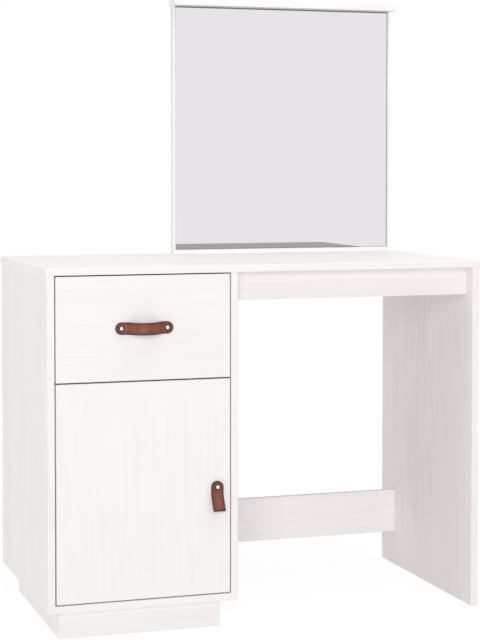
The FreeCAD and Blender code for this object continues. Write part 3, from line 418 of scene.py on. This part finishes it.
def saddle_leather(name, screw_reach, half_width, fold_reach=0.0):
    """Brown saddle leather: dye rubbed in along the strip, fine pores, wide burnished edges.

    The strip's flat cut is its map in metres. Its screws are screw_reach from the cut's middle, and a
    dark ring of painted shade is drawn round each. Painted shade also darkens a fold in the middle
    for fold_reach to both sides.
    """
    tan_colours = (from_hex("8B4B2E"), from_hex("7B4128"))
    russet_colours = (from_hex("7D3F32"), from_hex("6C322C"))
    burnished = from_hex("452C28")
    screw_ring_shade_colour = from_hex("4A2E28")
    burnish_starts = half_width - 0.0048
    burnish_full = half_width - 0.0018
    pressed_line = half_width - 0.003
    line_width = 0.0006

    finish, shader = new_finish(name)
    cut = add_node(finish, "UVMap", uv_map="cut").outputs["UV"]
    flat = add_node(finish, "SeparateXYZ", {"Vector": cut}).outputs
    along = add_node(finish, "Math", {0: flat["X"]}, operation="ABSOLUTE").outputs[0]
    past_screw = add_node(finish, "Math", {0: along, 1: screw_reach}, operation="SUBTRACT").outputs[0]
    round_end = add_node(finish, "Math", {0: past_screw, 1: 0}, operation="MAXIMUM").outputs[0]
    from_middle = add_node(finish, "CombineXYZ", {"X": round_end, "Y": flat["Y"]}).outputs[0]
    off_middle = add_node(finish, "VectorMath", {0: from_middle}, operation="LENGTH").outputs["Value"]
    from_screw = add_node(finish, "CombineXYZ", {"X": past_screw, "Y": flat["Y"]}).outputs[0]
    off_screw = add_node(finish, "VectorMath", {0: from_screw}, operation="LENGTH").outputs["Value"]

    # Mottle of the dye over 9 mm, and streaks 2 mm wide and 30 mm long where it was rubbed in.
    dye = add_node(
        finish, "TexNoise", {"Vector": cut, "Scale": 1 / 0.009, "Detail": 4, "Roughness": 0.6}
    ).outputs[0]
    rub_place = add_node(finish, "Mapping", {"Vector": cut, "Scale": (1 / 0.03, 1 / 0.002, 1)}).outputs[0]
    rub = add_node(finish, "TexNoise", {"Vector": rub_place, "Scale": 1, "Detail": 3}).outputs[0]
    worked = add_node(finish, "Math", {0: dye, 1: rub}, operation="ADD").outputs[0]
    shade = add_node(
        finish, "MapRange", {"Value": worked, "From Min": 0.75, "From Max": 1.25}
    ).outputs[0]
    aside = add_node(
        finish, "MapRange", {"Value": off_middle, "From Min": 0.001, "From Max": half_width * 0.75}
    ).outputs[0]
    tan = add_node(
        finish, "Mix", {0: shade, 6: tan_colours[0], 7: tan_colours[1]}, data_type="RGBA"
    ).outputs[2]
    russet = add_node(
        finish, "Mix", {0: shade, 6: russet_colours[0], 7: russet_colours[1]}, data_type="RGBA"
    ).outputs[2]
    face = add_node(finish, "Mix", {0: aside, 6: tan, 7: russet}, data_type="RGBA").outputs[2]

    # Dark places: the burnished edges, and painted shade in rings round the screws and at the fold.
    burnish = add_node(
        finish, "MapRange",
        {"Value": off_middle, "From Min": burnish_starts, "From Max": burnish_full, "To Max": 0.92},
        interpolation_type="SMOOTHSTEP",
    ).outputs[0]
    edged = add_node(finish, "Mix", {0: burnish, 6: face, 7: burnished}, data_type="RGBA").outputs[2]
    # Painted shade: a dark ring round each screw head, as a dimple under the head would shade it.
    screw_ring_shade = add_node(
        finish, "MapRange", {"Value": off_screw, "From Min": 0.0092, "From Max": 0.0052, "To Max": 0.9},
        interpolation_type="SMOOTHSTEP",
    ).outputs[0]
    colour = add_node(finish, "Mix", {0: screw_ring_shade, 6: edged, 7: screw_ring_shade_colour}, data_type="RGBA").outputs[2]
    # Painted shade: the fold of a doubled strip is drawn dark where its curve turns under.
    if fold_reach:
        fold_shade = add_node(
            finish, "MapRange",
            {
                "Value": along, "To Max": 0.9,
                "From Min": fold_reach + 0.0012, "From Max": fold_reach - 0.0006,
            },
            interpolation_type="SMOOTHSTEP",
        ).outputs[0]
        colour = add_node(finish, "Mix", {0: fold_shade, 6: colour, 7: burnished}, data_type="RGBA").outputs[2]

    # Real pores are about 0.3 mm and are drawn at 1.1 mm to show; the line is pressed 3 mm inside.
    pores = add_node(
        finish, "TexVoronoi", {"Vector": cut, "Scale": 1 / 0.0011}, feature="SMOOTH_F1"
    ).outputs["Distance"]
    off_line = add_node(finish, "Math", {0: off_middle, 1: pressed_line}, operation="SUBTRACT").outputs[0]
    line_gap = add_node(finish, "Math", {0: off_line}, operation="ABSOLUTE").outputs[0]
    groove = add_node(
        finish, "MapRange", {"Value": line_gap, "From Max": line_width, "To Min": -3, "To Max": 0}
    ).outputs[0]
    relief = add_node(finish, "Math", {0: pores, 1: groove}, operation="ADD").outputs[0]
    bump = add_node(finish, "Bump", {"Height": relief, "Strength": 0.35, "Distance": 0.0002}).outputs[0]
    wax = add_node(finish, "MapRange", {"Value": worked, "To Min": 0.36, "To Max": 0.46}).outputs[0]
    links = finish.node_tree.links
    links.new(colour, shader.inputs["Base Color"])
    links.new(wax, shader.inputs["Roughness"])
    links.new(bump, shader.inputs["Normal"])
    shader.inputs["IOR"].default_value = 1.45
    return finish


strap_low, strap_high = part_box("drawer_pull_strap")
strap_width = 0.025
strap_thickness = 0.003
strap_holes = 0.096
strap_projection = 0.030
strap_lies = 0.006
strap_bend = 0.012
strap_straight = 0.015
strap_flat = strap_width / 2 + strap_lies
# Slope and crest that carry the strap out from the drawer between its screws.
strap_half_run = strap_holes / 2 - strap_lies
strap_rise = strap_projection - strap_thickness
strap_slope = 2 * math.atan2(strap_rise, strap_half_run + strap_straight)
strap_sloped_run = strap_straight * math.cos(strap_slope)
strap_crest = (strap_half_run - strap_sloped_run) / math.sin(strap_slope) - strap_bend
strap_length = 2 * (strap_flat + strap_straight + (strap_bend + strap_crest) * strap_slope)
strap = cut_leather("leather_strap", strap_length, strap_width, strap_thickness)
strap_turn = math.degrees(strap_slope)
bend_leather(
    strap,
    strap_length,
    (
        (strap_flat,),
        (strap_bend, -strap_turn),
        (strap_straight,),
        (strap_crest, 2 * strap_turn),
        (strap_straight,),
        (strap_bend, -strap_turn),
        (strap_flat,),
    ),
)
strap_start = (strap_low.x, strap_high.y - strap_thickness / 2, (strap_low.z + strap_high.z) / 2)
strap.data.transform(Matrix.Translation(strap_start))
strap_screw_reach = strap_length / 2 - strap_width / 2
strap_leather = saddle_leather("saddle_leather_strap", strap_screw_reach, strap_width / 2)
strap.data.materials.append(strap_leather)
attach(strap, "drawer")
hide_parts("drawer_pull_strap")


# Door pull: one strip of the same leather, folded double so that its two round ends lie on each
# other under one screw. The doubled tab leans out from the door to its fold.
tab_low, tab_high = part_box("door_pull_tab")
tab_width = 0.025
tab_thickness = 0.0028
tab_slit = 0.0006
tab_drop = 0.049
tab_lies = 0.012
tab_lean = math.radians(30)
tab_inner_bend = 0.025
# How far the painted shade at the tab's fold reaches to both sides of it.
tab_fold_shade_reach = 0.0042
tab_pitch = tab_thickness + tab_slit
tab_outer_bend = tab_inner_bend - tab_pitch
tab_flat = tab_width / 2 + tab_lies
tab_fold_reach = (tab_pitch + tab_thickness) / 2
tab_sloped_drop = tab_drop - tab_lies - tab_inner_bend * math.sin(tab_lean) - tab_fold_reach
tab_slope = tab_sloped_drop / math.cos(tab_lean)
tab_bends = (tab_inner_bend + tab_outer_bend) * tab_lean + math.pi * tab_pitch / 2
tab_length = 2 * (tab_flat + tab_slope) + tab_bends
tab = cut_leather("leather_tab", tab_length, tab_width, tab_thickness)
tab_turn = math.degrees(tab_lean)
bend_leather(
    tab,
    tab_length,
    (
        (tab_flat,),
        (tab_inner_bend, tab_turn),
        (tab_slope,),
        (tab_pitch / 2, 180),
        (tab_slope,),
        (tab_outer_bend, -tab_turn),
        (tab_flat,),
    ),
)
# Half a turn that makes the strip run down the door and bend out of it.
down_door = Matrix.Rotation(math.pi, 4, Vector((1, 0, -1)))
tab_start = ((tab_low.x + tab_high.x) / 2, tab_high.y - tab_thickness / 2, tab_high.z)
tab.data.transform(Matrix.Translation(tab_start) @ down_door)
tab_screw_reach = tab_length / 2 - tab_width / 2
tab_leather = saddle_leather("saddle_leather_tab", tab_screw_reach, tab_width / 2, tab_fold_shade_reach)
tab.data.materials.append(tab_leather)
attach(tab, "door")
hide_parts("door_pull_tab")


# Screws of the pulls: turned pale brass with low round heads, polished.
# Nuts, wood screws, pins, bolts and the catch plate: zinc-plated steel.
def plated_metal(name, bright, dull, roughness):
    """Plated or turned metal: bright, with a faint cloudy variation from plating and handling."""
    finish, shader = new_finish(name)
    place = add_node(finish, "TexCoord").outputs["Object"]
    # Cloudiness of the plating over 4 mm.
    cloud = add_node(
        finish, "TexNoise", {"Vector": place, "Scale": 1 / 0.004, "Detail": 3}
    ).outputs["Fac"]
    colour = add_node(
        finish, "Mix", {0: cloud, 6: from_hex(bright), 7: from_hex(dull)}, data_type="RGBA"
    ).outputs[2]
    polish = add_node(
        finish, "MapRange", {"Value": cloud, "To Min": roughness - 0.06, "To Max": roughness + 0.08}
    ).outputs[0]
    links = finish.node_tree.links
    links.new(colour, shader.inputs["Base Color"])
    links.new(polish, shader.inputs["Roughness"])
    shader.inputs["Metallic"].default_value = 1
    return finish


dress(
    plated_metal("polished_pale_brass", "FAF3E4", "F2E8D2", 0.2),
    ("drawer_pull_screws", "door_pull_screw"),
)
dress(
    plated_metal("zinc_plated_steel", "D2D3D4", "BDBEC0", 0.32),
    (
        "drawer_pull_nuts", "door_pull_nut", "upper_hinge_pin", "lower_hinge_pin", "runner_screws",
        "hinge_arm_screws", "hinge_cup_screws", "catch_screws", "catch_plate", "catch_plate_screw",
        "cam_bolts", "mirror_screws", "drawer_screws",
    ),
)
dress(plated_metal("dull_cast_zinc", "B4B4B4", "9C9C9C", 0.5), ("cam_discs",))


# Hinges: pressed steel cups and goose-neck arms, nickel plated, with the drag marks of pressing.
# The arms are screwed to the cabinet's left side, the cups into bores in the door's back.
nickel, nickel_shader = new_finish("nickel_plated_steel")
nickel_place = add_node(nickel, "TexCoord").outputs["Object"]
# Drag marks 0.4 mm apart are drawn at 1.2 mm so that they show.
drag_place = add_node(
    nickel, "Mapping", {"Vector": nickel_place, "Scale": (1 / 0.0012, 1 / 0.02, 1 / 0.0012)}
).outputs[0]
drag = add_node(nickel, "TexNoise", {"Vector": drag_place, "Scale": 1, "Detail": 3}).outputs["Fac"]
nickel_tone = add_node(
    nickel, "Mix", {0: drag, 6: from_hex("D6D2CB"), 7: from_hex("C2BDB5")}, data_type="RGBA"
).outputs[2]
nickel_polish = add_node(nickel, "MapRange", {"Value": drag, "To Min": 0.2, "To Max": 0.4}).outputs[0]
nickel.node_tree.links.new(nickel_tone, nickel_shader.inputs["Base Color"])
nickel.node_tree.links.new(nickel_polish, nickel_shader.inputs["Roughness"])
nickel_shader.inputs["Metallic"].default_value = 1
dress(nickel, ("upper_hinge_arm", "lower_hinge_arm", "upper_hinge_cup", "lower_hinge_cup"))


# Door catch: a small moulded block of white polypropylene with a magnet inside, screwed under the
# divider. Moulding leaves a fine, even satin texture.
catch_plastic, catch_shader = new_finish("moulded_white_polypropylene")
catch_place = add_node(catch_plastic, "TexCoord").outputs["Object"]
satin = add_node(
    catch_plastic, "TexNoise", {"Vector": catch_place, "Scale": 1 / 0.0015, "Detail": 2}
).outputs["Fac"]
catch_tone = add_node(
    catch_plastic, "Mix", {0: satin, 6: from_hex("F0F0EC"), 7: from_hex("E8E8E3")}, data_type="RGBA"
).outputs[2]
catch_bump = add_node(
    catch_plastic, "Bump", {"Height": satin, "Strength": 0.2, "Distance": 0.0001}
).outputs[0]
catch_plastic.node_tree.links.new(catch_tone, catch_shader.inputs["Base Color"])
catch_plastic.node_tree.links.new(catch_bump, catch_shader.inputs["Normal"])
catch_shader.inputs["Roughness"].default_value = 0.45
dress(catch_plastic, ("catch_body",))


# Dowels: turned beech pegs, glued into the boards' edges. Beech is pinkish and finely flecked,
# with flecks 2 to 4 mm long.
beech, beech_shader = new_finish("turned_beech")
beech_place = add_node(beech, "TexCoord").outputs["Object"]
fleck = add_node(beech, "TexNoise", {"Vector": beech_place, "Scale": 1 / 0.003, "Detail": 3}).outputs["Fac"]
beech_tone = add_node(
    beech, "Mix", {0: fleck, 6: from_hex("DDB78F"), 7: from_hex("C2936A")}, data_type="RGBA"
).outputs[2]
beech.node_tree.links.new(beech_tone, beech_shader.inputs["Base Color"])
beech_shader.inputs["Roughness"].default_value = 0.6
dress(beech, ("dowels", "drawer_dowels"))


# Studio: a floor lit from below, as a light table is, and a white surround. What the camera, the
# mirror and the metal see of both is white, but the floor still darkens where the table shades it.
def seen_share(owner):
    """1 for what the camera sees, straight or in a reflection; 0 for the light that falls on things."""
    path = add_node(owner, "LightPath").outputs
    mirrored = add_node(
        owner, "Math", {0: path["Is Glossy Ray"], 1: path["Is Transmission Ray"]}, operation="MAXIMUM"
    ).outputs[0]
    return add_node(owner, "Math", {0: path["Is Camera Ray"], 1: mirrored}, operation="MAXIMUM").outputs[0]


white = (1, 1, 1, 1)
bpy.ops.object.select_all(action="DESELECT")
bpy.ops.mesh.primitive_plane_add(size=16)
floor = bpy.context.object
floor.name = "floor"
floor_paint = bpy.data.materials.new("pale_studio_floor")
floor_paint.use_nodes = True
floor_paint.node_tree.nodes.clear()
floor_shade = add_node(floor_paint, "BsdfDiffuse", {"Color": from_hex("7A7A7A")}).outputs[0]
floor_glow = add_node(floor_paint, "Emission", {"Color": white, "Strength": 0.56}).outputs[0]
floor_place = add_node(floor_paint, "TexCoord").outputs["Object"]
floor_reach = add_node(floor_paint, "VectorMath", {0: floor_place}, operation="LENGTH").outputs["Value"]
# The lamps' light fades with distance, and the floor's own makes up for it, so it is white to its edge.
floor_even = add_node(
    floor_paint, "MapRange",
    {"Value": floor_reach, "From Min": 1.0, "From Max": 3.5, "To Min": 0.86, "To Max": 0.93},
).outputs[0]
floor_white = add_node(floor_paint, "Emission", {"Color": white, "Strength": floor_even}).outputs[0]
floor_panel = add_node(
    floor_paint, "MixShader", {0: seen_share(floor_paint), 1: floor_glow, 2: floor_white}
).outputs[0]
floor_shaded = add_node(floor_paint, "AddShader", {0: floor_shade, 1: floor_panel}).outputs[0]
add_node(floor_paint, "OutputMaterial", {"Surface": floor_shaded})
floor.data.materials.append(floor_paint)

studio = bpy.data.worlds.new("white_surround")
bpy.context.scene.world = studio
studio.use_nodes = True
studio.node_tree.nodes.clear()
surround_light = add_node(studio, "Background", {"Color": white, "Strength": 0.4}).outputs[0]
surround_white = add_node(studio, "Background", {"Color": white, "Strength": 1}).outputs[0]
surround_mix = add_node(
    studio, "MixShader", {0: seen_share(studio), 1: surround_light, 2: surround_white}
).outputs[0]
add_node(studio, "OutputWorld", {"Surface": surround_mix})


# Lamps: a large soft box behind the camera and above it, and two weaker ones, over the table and to
# its left. A fourth, small and weak, stands where the mirror shows it to the camera: it makes the
# grey mirror pale there, while the tabletop's reflection in it stays dark.
def soft_box(name, place, aim, size, power):
    """A square area lamp aimed at a point: metres and watts."""
    bpy.ops.object.light_add(type="AREA", location=place)
    lamp = bpy.context.object
    lamp.name = name
    lamp.data.size = size
    lamp.data.energy = power
    lamp.rotation_euler = (Vector(aim) - Vector(place)).to_track_quat("-Z", "Y").to_euler()


soft_box("front_soft_box", place=(-1.65, -5.3, 1.7), aim=(0, 0, 0.6), size=2.6, power=119)
soft_box("mirrored_soft_box", place=(2.15, -5.2, 1.15), aim=(0.2, 0.25, 1.05), size=1.75, power=10.5)
soft_box("top_soft_box", place=(0.5, -0.5, 3.6), aim=(0.2, 0, 0.7), size=2.4, power=49)
soft_box("left_soft_box", place=(-4.0, 0.2, 1.6), aim=(-0.47, 0, 0.6), size=2.4, power=41)


# Camera: just under a metre up, in front of the table and to its left, looking slightly down.
# Its place, tilt, turn and lens were fitted to the straight edges of the boards.
camera_place = (-1.18567, -3.65328, 0.95612)
camera_tilt_down = 2.25
camera_turn_right = 18.09
bpy.ops.object.camera_add(location=camera_place)
camera = bpy.context.object
camera.rotation_euler = (math.radians(90 - camera_tilt_down), 0, math.radians(-camera_turn_right))
camera.data.sensor_width = 36
camera.data.lens = 98.41
camera.data.shift_y = -0.1351
bpy.context.scene.camera = camera
bpy.context.scene.view_settings.view_transform = "Standard"
